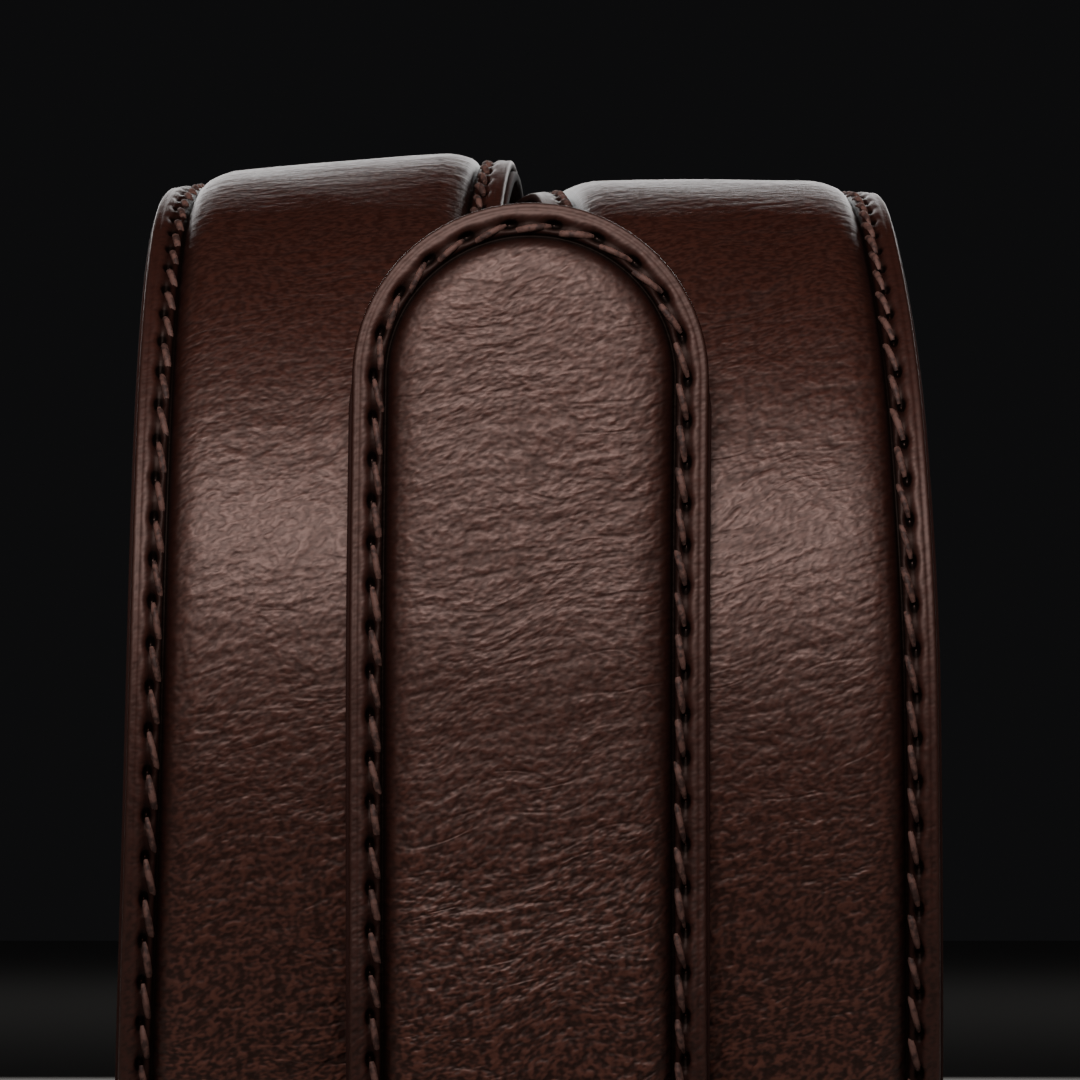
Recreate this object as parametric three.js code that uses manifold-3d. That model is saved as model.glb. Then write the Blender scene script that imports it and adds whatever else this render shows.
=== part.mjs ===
// A leather ratchet belt, wound into a coil that stands on the floor with its tip in front.
// Millimetres, +Z up, origin on the floor under the middle of the coil. The coil's axis lies
// along X and the tip runs up the side that faces -Y.

import * as THREE from 'three';
import { mergeVertices } from 'three/addons/utils/BufferGeometryUtils.js';
import Module from 'manifold-3d';

// Strap: a lining under a face leather whose middle is padded up between two stitched margins.
const strapWidth = 35;
const liningThickness = 1.1;
const liningOverhang = 0.3;
const liningFlare = 3;
const plyGap = 0.25;
const marginThickness = 1.0;
const marginWidth = 3.2;
const padRise = 1.3;
const padShoulder = 3;
const steepShare = 0.3;
const steepRise = 0.7;
const edgeChamfer = 0.4;
const turnClearance = 0.45;

// Coil: the inner hoop that the strap is wound on, seen along X, and the turns from the middle of
// its foot to the strap's tip and to where the tip leaves the coil.
const hoopHalfDepth = 54.3;
const hoopHeight = 93.7;
const coilTurns = 3.387;
const heldTurns = 3.281;

// Ratchet track, let into the lining.
const trackWidth = 5;
const trackDepth = 0.9;
const trackRoot = 0.35;
const toothPitch = 6.3;
const toothCount = 32;
const toothDrop = 0.7;
const trackFromTip = 55;

// Buckle
const buckleLength = 42;
const buckleSetback = 1;
const facePlate = 2;
const sideWall = 1.5;
const pocketRoof = 1.4;
const pocketDepth = 12;
const slotHeight = 6;
const backBarThickness = 1.6;
const backBarWidth = 10;
const buckleCornerRadius = 3;
const buckleEdgeRadius = 0.6;
const fitGap = 0.3;

// Mesh steps
const strapStep = 5.4;
const tipSteps = 8;
const hoopSteps = 720;
const leastStep = 1;
const weldSize = 1e-4;

const strapThickness = liningThickness + plyGap + marginThickness + padRise;
const layerPitch = strapThickness + turnClearance;
const footHeight = 2 * layerPitch + strapThickness;
const clampLayer = (layerPitch - 2 * fitGap - facePlate - strapThickness) / layerPitch;

// How the hoop bends from the middle of its foot round the front to its crown: share of half its
// length, and bend against its neighbours. It is flat on the floor, tight where it leaves it,
// slack up the front and round again over the shoulder.
const hoopBend = [
  { share: 0, bend: 0 },
  { share: 0.12, bend: 0 },
  { share: 0.24, bend: 2.8 },
  { share: 0.4, bend: 0.5 },
  { share: 0.64, bend: 1.4 },
  { share: 0.82, bend: 0.9 },
  { share: 1, bend: 0.7 },
];

// The course of the strap from its square end to its tip. turn counts round the hoop from the
// middle of its foot: about .25 is the front, .5 the crown, .75 the back. side is the shift along
// X in strap widths, layer counts out from the inner turn, roll lifts the right side, in degrees.
const course = [
  { turn: 0.0, side: 0, layer: clampLayer, roll: 0 },
  { turn: 0.08, side: 0, layer: clampLayer, roll: 0 },
  { turn: 0.26, side: 0, layer: 0, roll: 0 },
  { turn: 0.5, side: 0, layer: 0, roll: 0 },
  { turn: 0.84, side: 0.57, layer: 0, roll: 0 },
  { turn: 0.93, side: 0.66, layer: 1, roll: 0 },
  { turn: 1.0, side: 0.67, layer: 1, roll: 0 },
  { turn: 1.26, side: 0.65, layer: 1, roll: 0 },
  { turn: 1.33, side: 0.62, layer: 1, roll: 0 },
  { turn: 1.4, side: 0.57, layer: 1, roll: 0 },
  { turn: 1.5, side: 0.5, layer: 1, roll: 0 },
  { turn: 1.84, side: -0.57, layer: 1, roll: 0 },
  { turn: 2.0, side: -0.69, layer: 1, roll: 0 },
  { turn: 2.26, side: -0.62, layer: 1, roll: 0 },
  { turn: 2.43, side: -0.58, layer: 1.08, roll: 0.5 },
  { turn: 2.5, side: -0.54, layer: 1.5, roll: 4.5 },
  { turn: 2.6, side: -0.5, layer: 2, roll: 0 },
  { turn: 3.0, side: 0, layer: 2, roll: 0 },
  { turn: 3.08, side: 0, layer: 2, roll: 0 },
  { turn: 3.115, side: 0, layer: 2.55, roll: 0 },
  { turn: 3.15, side: 0, layer: 3.35, roll: 0 },
  { turn: 3.18, side: 0, layer: 2.95, roll: 0 },
  { turn: 3.22, side: 0, layer: 2.28, roll: 0 },
  { turn: 3.26, side: 0, layer: 2, roll: 0 },
  { turn: 3.4, side: 0.012, layer: 2, roll: 0 },
];

// Section of the face leather, from its edge in to the flat of the pad: distance in from the
// edge, and height over its underside. The pad's shoulder starts steep and ends slack.
const faceSection = [
  { inset: 0, height: marginThickness - edgeChamfer },
  { inset: edgeChamfer, height: marginThickness },
  { inset: marginWidth, height: marginThickness },
  { inset: marginWidth + padShoulder * steepShare, height: marginThickness + padRise * steepRise },
  { inset: marginWidth + padShoulder, height: marginThickness + padRise },
];

function mix(from, to, share) {
  return from + (to - from) * share;
}

function easeStep(value, low, high) {
  const share = Math.min(Math.max((value - low) / (high - low), 0), 1);
  return share * share * (3 - 2 * share);
}

// Smooth reading of one column of a table against another that never overshoots its rows.
function readTable(table, keyColumn, column, key) {
  const last = table.length - 2;
  let row = 0;
  while (row < last && key > table[row + 1][keyColumn]) row += 1;
  const width = (index) => table[index + 1][keyColumn] - table[index][keyColumn];
  const rise = (index) => (table[index + 1][column] - table[index][column]) / width(index);
  const slope = (index) => {
    if (index === 0 || index > last) return 0;
    const before = rise(index - 1);
    const after = rise(index);
    return before * after <= 0 ? 0 : (2 * before * after) / (before + after);
  };
  const share = Math.min(Math.max((key - table[row][keyColumn]) / width(row), 0), 1);
  const ease = share * share * (3 - 2 * share);
  const bulge = share * (1 - share) * width(row);
  return mix(table[row][column], table[row + 1][column], ease)
    + bulge * ((1 - share) * slope(row) - share * slope(row + 1));
}

function readCourse(column, turn) {
  return readTable(course, 'turn', column, turn);
}

// Half of the hoop, from the middle of its foot round the front to its crown. lean shifts bend
// from the crown to the foot, by the amount that brings the crown over the middle of the foot.
function traceHalfHoop(lean) {
  const steps = hoopSteps / 2;
  const turning = [];
  let total = 0;
  for (let i = 0; i < steps; i += 1) {
    const share = (i + 0.5) / steps;
    const bend = readTable(hoopBend, 'share', 'bend', share);
    turning.push(bend * (1 + lean * Math.cos(Math.PI * share)));
    total += turning[i];
  }
  const points = [{ y: 0, z: 0 }];
  let heading = 0;
  turning.forEach((amount) => {
    const change = (Math.PI * amount) / total;
    const middle = heading + change / 2;
    const from = points[points.length - 1];
    points.push({ y: from.y - Math.cos(middle), z: from.z + Math.sin(middle) });
    heading += change;
  });
  return points;
}

function makeHoop() {
  let low = -1;
  let high = 1;
  for (let i = 0; i < 40; i += 1) {
    const crown = traceHalfHoop((low + high) / 2).at(-1);
    if (crown.y < 0) low = (low + high) / 2;
    else high = (low + high) / 2;
  }
  const half = traceHalfHoop(low);
  const depth = Math.max(...half.map((point) => -point.y));
  const height = half.at(-1).z;
  const front = half.map(({ y, z }) => ({
    y: (y * hoopHalfDepth) / depth,
    z: footHeight + (z * hoopHeight) / height,
  }));
  front.at(-1).y = 0;
  const back = front.slice(1, -1).reverse().map(({ y, z }) => ({ y: -y, z }));
  const loop = [...front, ...back, front[0]];
  const reach = [0];
  for (let i = 1; i < loop.length; i += 1) {
    reach.push(reach[i - 1] + Math.hypot(loop[i].y - loop[i - 1].y, loop[i].z - loop[i - 1].z));
  }
  const length = reach.at(-1);
  const even = [];
  let segment = 0;
  for (let i = 0; i < hoopSteps; i += 1) {
    const wanted = (i * length) / hoopSteps;
    while (reach[segment + 1] < wanted) segment += 1;
    const share = (wanted - reach[segment]) / (reach[segment + 1] - reach[segment]);
    even.push({
      y: mix(loop[segment].y, loop[segment + 1].y, share),
      z: mix(loop[segment].z, loop[segment + 1].z, share),
    });
  }
  const rows = even.map((point, i) => {
    const before = even[(i + hoopSteps - 1) % hoopSteps];
    const after = even[(i + 1) % hoopSteps];
    return { ...point, heading: Math.atan2(after.z - before.z, before.y - after.y) };
  });
  return { length, rows };
}

const hoop = makeHoop();

// Point, tangent and outward normal of the hoop at a reach along it, in the YZ plane.
function hoopFrame(reach) {
  const place = (((reach / hoop.length) % 1) + 1) % 1 * hoopSteps;
  const index = Math.floor(place) % hoopSteps;
  const share = place - Math.floor(place);
  const here = hoop.rows[index];
  const next = hoop.rows[(index + 1) % hoopSteps];
  let change = next.heading - here.heading;
  if (change < -Math.PI) change += 2 * Math.PI;
  const heading = here.heading + change * share;
  return {
    y: mix(here.y, next.y, share),
    z: mix(here.z, next.z, share),
    alongY: -Math.cos(heading),
    alongZ: Math.sin(heading),
    curvature: (change * hoopSteps) / hoop.length,
  };
}

// Place of a point of the strap. across runs along the strap's width, height out from its back.
// The strap lies on the wound cylinder, and its tip leaves it in a straight line.
function placeAtTurn(turn, across, height) {
  const roll = THREE.MathUtils.degToRad(readCourse('roll', turn));
  const offset = readCourse('layer', turn) * layerPitch;
  const small = 0.002;
  const centre = hoopFrame(turn * hoop.length);
  const stretch = 1 + centre.curvature * offset;
  const drift = (readCourse('side', turn + small) - readCourse('side', turn - small)) * strapWidth;
  const lean = Math.atan2(drift, 2 * small * hoop.length * stretch);
  const wide = across * Math.cos(roll) - height * Math.sin(roll);
  const out = offset + height * Math.cos(roll) + across * Math.sin(roll);
  const reach = turn * hoop.length - (wide * Math.sin(lean)) / stretch;
  const release = heldTurns * hoop.length;
  const frame = hoopFrame(Math.min(reach, release));
  const past = Math.max(reach - release, 0) * (1 + frame.curvature * offset);
  return new THREE.Vector3(
    readCourse('side', turn) * strapWidth + wide * Math.cos(lean),
    frame.y + frame.alongY * past - frame.alongZ * out,
    frame.z + frame.alongZ * past + frame.alongY * out,
  );
}

// Length along the strap against turns, so that sections can be set by length.
function measureStrap() {
  const squareEndY = -buckleLength / 2 - buckleSetback + pocketDepth;
  const startTurn = -squareEndY / hoop.length;
  const spareTurn = 0.01;
  const count = 3000;
  const table = [{ turn: startTurn, length: 0 }];
  let last = placeAtTurn(startTurn, 0, 0);
  for (let i = 1; i <= count; i += 1) {
    const turn = mix(startTurn, coilTurns + spareTurn, i / count);
    const point = placeAtTurn(turn, 0, 0);
    table.push({ turn, length: table[i - 1].length + point.distanceTo(last) });
    last = point;
  }
  return table;
}

const strapTable = measureStrap();

function turnAtLength(length) {
  let low = 0;
  let high = strapTable.length - 1;
  while (high - low > 1) {
    const middle = (low + high) >> 1;
    if (strapTable[middle].length <= length) low = middle;
    else high = middle;
  }
  const from = strapTable[low];
  const to = strapTable[high];
  return mix(from.turn, to.turn, (length - from.length) / (to.length - from.length));
}

function lengthAtTurn(turn) {
  const row = strapTable.findIndex((entry) => entry.turn >= turn);
  const from = strapTable[row - 1];
  const to = strapTable[row];
  return mix(from.length, to.length, (turn - from.turn) / (to.turn - from.turn));
}

const strapLength = lengthAtTurn(coilTurns);

function place(length, across, height) {
  return placeAtTurn(turnAtLength(length), across, height);
}

// Lengths of the sections between two ends, with closer ones in the round tip.
function sectionLengths(end, tipRadius) {
  const straight = end - tipRadius;
  const count = Math.round(straight / strapStep);
  const lengths = [];
  for (let i = 0; i < count; i += 1) lengths.push((i * straight) / count);
  for (let i = 0; i <= tipSteps; i += 1) {
    lengths.push(end - tipRadius * (1 - Math.sin((i * Math.PI) / 2 / tipSteps)));
  }
  return lengths;
}

// Half of the width of the line that runs a given inset inside an outline with a round tip.
function halfWidthAt(fromTip, tipRadius, inset) {
  if (fromTip >= tipRadius) return tipRadius - inset;
  return Math.sqrt(Math.max((tipRadius - inset) ** 2 - (tipRadius - fromTip) ** 2, 0));
}

// Closed solid through rings of points that share one order. Points that meet are welded, and
// each patch is split along the diagonal nearer to X, because the wound strap is straight that way.
function solidThroughRings(rings, outlines) {
  const positions = [];
  const known = new Map();
  const index = [];
  const vertex = (point) => {
    const key = [point.x, point.y, point.z].map((value) => Math.round(value / weldSize)).join(' ');
    if (!known.has(key)) {
      known.set(key, positions.length / 3);
      positions.push(point.x, point.y, point.z);
    }
    return known.get(key);
  };
  const triangle = (a, b, c) => {
    if (a !== b && b !== c && c !== a) index.push(a, b, c);
  };
  const rows = rings.map((ring) => ring.map(vertex));
  for (let i = 0; i + 1 < rows.length; i += 1) {
    rows[i].forEach((corner, k) => {
      const next = (k + 1) % rows[i].length;
      const aside = rows[i][next];
      const ahead = rows[i + 1][k];
      const across = rows[i + 1][next];
      const rising = Math.abs(rings[i][k].x - rings[i + 1][next].x);
      const falling = Math.abs(rings[i][next].x - rings[i + 1][k].x);
      if (rising > falling) {
        triangle(corner, across, aside);
        triangle(corner, ahead, across);
      } else {
        triangle(corner, ahead, aside);
        triangle(aside, ahead, across);
      }
    });
  }
  [0, rows.length - 1].forEach((row, side) => {
    const area = Math.abs(THREE.ShapeUtils.area(outlines[row]));
    if (area < weldSize) return;
    THREE.ShapeUtils.triangulateShape(outlines[row], []).forEach(([a, b, c]) => {
      if (side === 0) triangle(rows[row][a], rows[row][b], rows[row][c]);
      else triangle(rows[row][c], rows[row][b], rows[row][a]);
    });
  });
  const geometry = new THREE.BufferGeometry();
  geometry.setAttribute('position', new THREE.Float32BufferAttribute(positions, 3));
  geometry.setIndex(index);
  return geometry;
}

// Solid swept along the strap: outlineAt gives its section as points (across, height).
function sweep(lengths, outlineAt) {
  const outlines = lengths.map(outlineAt);
  const rings = outlines.map((outline, i) => outline.map(({ x, y }) => place(lengths[i], x, y)));
  return solidThroughRings(rings, outlines);
}

function coverGeometry() {
  const tipRadius = strapWidth / 2;
  const under = liningThickness + plyGap;
  const heightAt = (inset) => {
    let row = 1;
    while (row < faceSection.length - 1 && inset > faceSection[row].inset) row += 1;
    const from = faceSection[row - 1];
    const to = faceSection[row];
    const share = Math.min(Math.max((inset - from.inset) / (to.inset - from.inset), 0), 1);
    return mix(from.height, to.height, share);
  };
  return sweep(sectionLengths(strapLength, tipRadius), (length) => {
    const fromTip = strapLength - length;
    const right = faceSection.map(({ inset }) => new THREE.Vector2(
      halfWidthAt(fromTip, tipRadius, inset),
      under + heightAt(Math.min(inset, fromTip)),
    ));
    const left = right.map(({ x, y }) => new THREE.Vector2(-x, y));
    const edge = right[0].x;
    return [
      new THREE.Vector2(-edge, under),
      new THREE.Vector2(0, under),
      new THREE.Vector2(edge, under),
      ...right,
      ...left.reverse(),
    ];
  });
}

function stripOutline(half, low, high) {
  return [
    new THREE.Vector2(-half, low),
    new THREE.Vector2(0, low),
    new THREE.Vector2(half, low),
    new THREE.Vector2(half, high),
    new THREE.Vector2(0, high),
    new THREE.Vector2(-half, high),
  ];
}

const wasm = await Module();
wasm.setup();

function toManifold(geometry) {
  const bare = geometry.clone();
  bare.deleteAttribute('normal');
  bare.deleteAttribute('uv');
  const merged = mergeVertices(bare, weldSize);
  return new wasm.Manifold(new wasm.Mesh({
    numProp: 3,
    vertProperties: new Float32Array(merged.attributes.position.array),
    triVerts: new Uint32Array(merged.index.array),
  }));
}

function fromManifold(solid) {
  const mesh = solid.getMesh();
  const geometry = new THREE.BufferGeometry();
  geometry.setAttribute('position', new THREE.Float32BufferAttribute(mesh.vertProperties, 3));
  geometry.setIndex(Array.from(mesh.triVerts));
  return geometry;
}

const trackEnd = strapLength - trackFromTip;
const trackStart = trackEnd - toothCount * toothPitch;

function liningGeometry() {
  const tipRadius = strapWidth / 2;
  const lengths = sectionLengths(strapLength, tipRadius);
  const whole = sweep(lengths, (length) => {
    const fromTip = strapLength - length;
    const overhang = liningOverhang * easeStep(fromTip, tipRadius, tipRadius + liningFlare);
    return stripOutline(halfWidthAt(fromTip, tipRadius, 0) + overhang, 0, liningThickness);
  });
  const slotFrom = trackStart - fitGap;
  const slotTo = trackEnd + fitGap;
  const inside = lengths.filter((length) => length > slotFrom + leastStep && length < slotTo - leastStep);
  const slot = sweep([slotFrom, ...inside, slotTo], () => (
    stripOutline(trackWidth / 2 + fitGap, -liningThickness, 2 * liningThickness)
  ));
  return fromManifold(toManifold(whole).subtract(toManifold(slot)));
}

// Each tooth is a long ramp with a short drop. Heights are measured from the strap's back.
function trackGeometry() {
  const back = liningThickness + plyGap - fitGap;
  const crest = back - trackDepth;
  const root = back - trackRoot;
  const rows = [];
  for (let i = 0; i < toothCount; i += 1) {
    const start = trackStart + i * toothPitch;
    const drop = start + toothPitch - toothDrop;
    rows.push({ length: start, low: root });
    rows.push({ length: mix(start, drop, 0.5), low: mix(root, crest, 0.5) });
    rows.push({ length: drop, low: crest });
  }
  rows.push({ length: trackEnd, low: root });
  const lowAt = new Map(rows.map((row) => [row.length, row.low]));
  return sweep(rows.map((row) => row.length), (length) => [
    new THREE.Vector2(-trackWidth / 2, lowAt.get(length)),
    new THREE.Vector2(trackWidth / 2, lowAt.get(length)),
    new THREE.Vector2(trackWidth / 2, back),
    new THREE.Vector2(-trackWidth / 2, back),
  ]);
}

function blockBetween(low, high) {
  const size = high.map((value, axis) => value - low[axis]);
  const block = new THREE.BoxGeometry(...size);
  block.translate(...high.map((value, axis) => (value + low[axis]) / 2));
  return toManifold(block);
}

// The buckle lies face down on the foot of the coil. Its own frame starts at the mouth of the
// pocket, in the plane of its face, with +Y towards the side where the belt's tip goes in.
const strapRoom = strapWidth / 2 + liningOverhang + fitGap;
const buckleHalfWidth = strapRoom + sideWall;
const pocketTop = facePlate + 2 * fitGap + strapThickness;
const slotTop = facePlate + slotHeight;
const buckleThickness = slotTop + backBarThickness;

function buckleGeometry() {
  const x = buckleHalfWidth - buckleEdgeRadius;
  const r = buckleCornerRadius;
  const low = buckleEdgeRadius;
  const high = buckleLength - buckleEdgeRadius;
  const outline = new THREE.Shape();
  outline.moveTo(r - x, low);
  outline.lineTo(x - r, low);
  outline.absarc(x - r, low + r, r, -Math.PI / 2, 0);
  outline.lineTo(x, high - r);
  outline.absarc(x - r, high - r, r, 0, Math.PI / 2);
  outline.lineTo(r - x, high);
  outline.absarc(r - x, high - r, r, Math.PI / 2, Math.PI);
  outline.lineTo(-x, low + r);
  outline.absarc(r - x, low + r, r, Math.PI, 1.5 * Math.PI);
  const body = new THREE.ExtrudeGeometry(outline, {
    depth: buckleThickness - 2 * buckleEdgeRadius,
    bevelThickness: buckleEdgeRadius,
    bevelSize: buckleEdgeRadius,
    bevelSegments: 2,
    curveSegments: 4,
  });
  body.translate(0, 0, buckleEdgeRadius);
  const beyond = 1;
  const wide = buckleHalfWidth + beyond;
  const partition = pocketDepth + fitGap + sideWall;
  const cuts = [
    blockBetween([-strapRoom, -beyond, facePlate], [strapRoom, pocketDepth + fitGap, pocketTop]),
    blockBetween([-strapRoom, partition, facePlate], [strapRoom, buckleLength + beyond, slotTop]),
    blockBetween([-strapRoom, partition, slotTop - beyond],
      [strapRoom, buckleLength - backBarWidth, buckleThickness + beyond]),
    blockBetween([-wide, -beyond, pocketTop + pocketRoof],
      [wide, partition, buckleThickness + beyond]),
  ];
  return fromManifold(cuts.reduce((solid, cut) => solid.subtract(cut), toManifold(body)));
}

const belt = new THREE.Group();

function addPiece(name, geometry, finish) {
  const mesh = new THREE.Mesh(geometry, new THREE.MeshStandardMaterial(finish));
  mesh.name = name;
  belt.add(mesh);
  return mesh;
}

addPiece('strap_cover', coverGeometry(), { color: 0x3d211b, roughness: 0.45, metalness: 0 });
addPiece('strap_lining', liningGeometry(), { color: 0x35201a, roughness: 0.6, metalness: 0 });
addPiece('ratchet_track', trackGeometry(), { color: 0x1c1a19, roughness: 0.5, metalness: 0 });
const buckle = addPiece('buckle', buckleGeometry(), {
  color: 0x6f6c69, roughness: 0.3, metalness: 1,
});
buckle.position.set(
  0,
  -buckleLength / 2 - buckleSetback,
  footHeight - layerPitch + fitGap,
);

export default belt;
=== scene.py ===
# Looks of a leather ratchet belt wound into a standing coil: grained face leather, stitches,
# lining, track and buckle, with the floor, lights and camera.
import bpy
import math
import numpy as np
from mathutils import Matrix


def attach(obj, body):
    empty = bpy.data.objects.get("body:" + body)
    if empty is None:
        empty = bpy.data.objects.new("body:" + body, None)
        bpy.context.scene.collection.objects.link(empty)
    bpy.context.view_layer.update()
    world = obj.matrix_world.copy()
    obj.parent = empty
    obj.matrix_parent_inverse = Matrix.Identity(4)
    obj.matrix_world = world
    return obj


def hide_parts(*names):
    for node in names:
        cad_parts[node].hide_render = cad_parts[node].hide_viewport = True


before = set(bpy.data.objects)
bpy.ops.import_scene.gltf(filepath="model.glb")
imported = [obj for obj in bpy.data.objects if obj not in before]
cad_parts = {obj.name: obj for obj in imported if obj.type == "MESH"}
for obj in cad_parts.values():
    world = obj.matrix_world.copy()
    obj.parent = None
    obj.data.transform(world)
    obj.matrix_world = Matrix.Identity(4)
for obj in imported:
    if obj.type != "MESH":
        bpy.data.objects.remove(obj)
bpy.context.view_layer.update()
mm = 0.001  # metres in a millimetre
cmPerMm = 0.1

# The strap's own sizes in millimetres, as its solids have them
strap = {
    "width": 35.0,
    "liningThickness": 1.1,
    "liningOverhang": 0.3,
    "liningFlare": 3.0,
    "plyGap": 0.25,
    "marginThickness": 1.0,
    "padRise": 1.3,
    "turnClearance": 0.45,
    "facePlate": 2.0,
    "fitGap": 0.3,
    "buckleLength": 42.0,
    "buckleSetback": 1.0,
    "pocketDepth": 12.0,
}
strap["thickness"] = sum(strap[k] for k in ("liningThickness", "plyGap", "marginThickness", "padRise"))
strap["layerPitch"] = strap["thickness"] + strap["turnClearance"]
strap["under"] = strap["liningThickness"] + strap["plyGap"]
clampLayer = 1 - (2 * strap["fitGap"] + strap["facePlate"] + strap["thickness"]) / strap["layerPitch"]

coil = {
    "halfDepth": 54.3,
    "height": 93.7,
    "footHeight": 2 * strap["layerPitch"] + strap["thickness"],
    "releaseTurn": 3.281,
    "endTurn": 3.387,
    "steps": 720,
}

# How the hoop bends from the middle of its foot, round the front, to its crown
hoopBend = {
    "share": [0, 0.12, 0.24, 0.4, 0.64, 0.82, 1],
    "bend": [0, 0, 2.8, 0.5, 1.4, 0.9, 0.7],
}

# Course of the strap from its square end to its tip: turns round the hoop, shift along X in
# strap widths, layers out from the inner turn, and roll in degrees with the right side out
courseRows = [
    (0.0, 0, clampLayer, 0),
    (0.08, 0, clampLayer, 0),
    (0.26, 0, 0, 0),
    (0.5, 0, 0, 0),
    (0.84, 0.57, 0, 0),
    (0.93, 0.66, 1, 0),
    (1.0, 0.67, 1, 0),
    (1.26, 0.65, 1, 0),
    (1.33, 0.62, 1, 0),
    (1.4, 0.57, 1, 0),
    (1.5, 0.5, 1, 0),
    (1.84, -0.57, 1, 0),
    (2.0, -0.69, 1, 0),
    (2.26, -0.62, 1, 0),
    (2.43, -0.58, 1.08, 0.5),
    (2.5, -0.54, 1.5, 4.5),
    (2.6, -0.5, 2, 0),
    (3.0, 0, 2, 0),
    (3.08, 0, 2, 0),
    (3.115, 0, 2.55, 0),
    (3.15, 0, 3.35, 0),
    (3.18, 0, 2.95, 0),
    (3.22, 0, 2.28, 0),
    (3.26, 0, 2, 0),
    (3.4, 0.012, 2, 0),
]
course = dict(zip(("turn", "side", "layer", "roll"), np.array(courseRows, float).T))


def easeStep(value, low, high):
    share = np.clip((value - low) / (high - low), 0, 1)
    return share * share * (3 - 2 * share)


def readTable(keys, values, at):  # smooth reading that never overshoots the rows
    keys = np.asarray(keys, float)
    values = np.asarray(values, float)
    width = np.diff(keys)
    rise = np.diff(values) / width
    slope = np.zeros(len(keys))
    level = rise[:-1] * rise[1:] <= 0
    total = np.where(level, 1, rise[:-1] + rise[1:])
    slope[1:-1] = np.where(level, 0, 2 * rise[:-1] * rise[1:] / total)
    row = np.clip(np.searchsorted(keys, at, side="left") - 1, 0, len(keys) - 2)
    share = np.clip((at - keys[row]) / width[row], 0, 1)
    ease = share * share * (3 - 2 * share)
    bulge = share * (1 - share) * width[row]
    bend = (1 - share) * slope[row] - share * slope[row + 1]
    return values[row] + (values[row + 1] - values[row]) * ease + bulge * bend


def readCourse(column, turn):
    return readTable(course["turn"], course[column], turn)


def traceHalfHoop(lean):
    steps = coil["steps"] // 2
    share = (np.arange(steps) + 0.5) / steps
    bend = readTable(hoopBend["share"], hoopBend["bend"], share)
    turning = bend * (1 + lean * np.cos(np.pi * share))
    change = np.pi * turning / turning.sum()
    middle = np.cumsum(change) - change / 2
    y = np.concatenate([[0], np.cumsum(-np.cos(middle))])
    z = np.concatenate([[0], np.cumsum(np.sin(middle))])
    return y, z


def makeHoop():
    low, high = -1.0, 1.0
    for _ in range(40):
        middle = (low + high) / 2
        y, z = traceHalfHoop(middle)
        low, high = (middle, high) if y[-1] < 0 else (low, middle)
    y, z = traceHalfHoop(low)
    frontY = y * coil["halfDepth"] / -y.min()
    frontZ = coil["footHeight"] + z * coil["height"] / z[-1]
    frontY[-1] = 0
    loopY = np.concatenate([frontY, -frontY[-2:0:-1], frontY[:1]])
    loopZ = np.concatenate([frontZ, frontZ[-2:0:-1], frontZ[:1]])
    reach = np.concatenate([[0], np.cumsum(np.hypot(np.diff(loopY), np.diff(loopZ)))])
    even = np.arange(coil["steps"]) * reach[-1] / coil["steps"]
    evenY = np.interp(even, reach, loopY)
    evenZ = np.interp(even, reach, loopZ)
    stepZ = np.roll(evenZ, -1) - np.roll(evenZ, 1)
    stepY = np.roll(evenY, 1) - np.roll(evenY, -1)
    return {"length": reach[-1], "y": evenY, "z": evenZ, "heading": np.arctan2(stepZ, stepY)}


hoop = makeHoop()


def hoopFrame(reach):  # point, direction and curvature of the hoop at a reach along it
    place = (reach / hoop["length"]) % 1 * coil["steps"]
    index = np.floor(place).astype(int) % coil["steps"]
    after = (index + 1) % coil["steps"]
    share = place - np.floor(place)
    change = hoop["heading"][after] - hoop["heading"][index]
    change = np.where(change < -np.pi, change + 2 * np.pi, change)
    heading = hoop["heading"][index] + change * share
    y = hoop["y"][index] * (1 - share) + hoop["y"][after] * share
    z = hoop["z"][index] * (1 - share) + hoop["z"][after] * share
    return y, z, -np.cos(heading), np.sin(heading), change * coil["steps"] / hoop["length"]


def placeAtTurn(turn, across, height):
    turn, across, height = np.broadcast_arrays(*(np.asarray(v, float) for v in (turn, across, height)))
    roll = np.radians(readCourse("roll", turn))
    offset = readCourse("layer", turn) * strap["layerPitch"]
    small = 0.002
    curvature = hoopFrame(turn * hoop["length"])[4]
    stretch = 1 + curvature * offset
    drift = (readCourse("side", turn + small) - readCourse("side", turn - small)) * strap["width"]
    lean = np.arctan2(drift, 2 * small * hoop["length"] * stretch)
    wide = across * np.cos(roll) - height * np.sin(roll)
    out = offset + height * np.cos(roll) + across * np.sin(roll)
    reach = turn * hoop["length"] - wide * np.sin(lean) / stretch
    release = coil["releaseTurn"] * hoop["length"]
    y, z, alongY, alongZ, bend = hoopFrame(np.minimum(reach, release))
    past = np.maximum(reach - release, 0) * (1 + bend * offset)
    x = readCourse("side", turn) * strap["width"] + wide * np.cos(lean)
    return np.stack([x, y + alongY * past - alongZ * out, z + alongZ * past + alongY * out], -1)


squareEndY = -strap["buckleLength"] / 2 - strap["buckleSetback"] + strap["pocketDepth"]
turnTable = np.linspace(-squareEndY / hoop["length"], coil["endTurn"] + 0.01, 3001)
centreLine = placeAtTurn(turnTable, 0, 0)
lengthTable = np.concatenate([[0], np.cumsum(np.linalg.norm(np.diff(centreLine, axis=0), axis=1))])
strapLength = float(np.interp(coil["endTurn"], turnTable, lengthTable))
tipRadius = strap["width"] / 2
straightLength = strapLength - tipRadius


def place(length, across, height):
    return placeAtTurn(np.interp(length, lengthTable, turnTable), across, height)


print(f"strap {strapLength:.1f} mm long on a hoop of {hoop['length']:.1f} mm")

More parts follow.
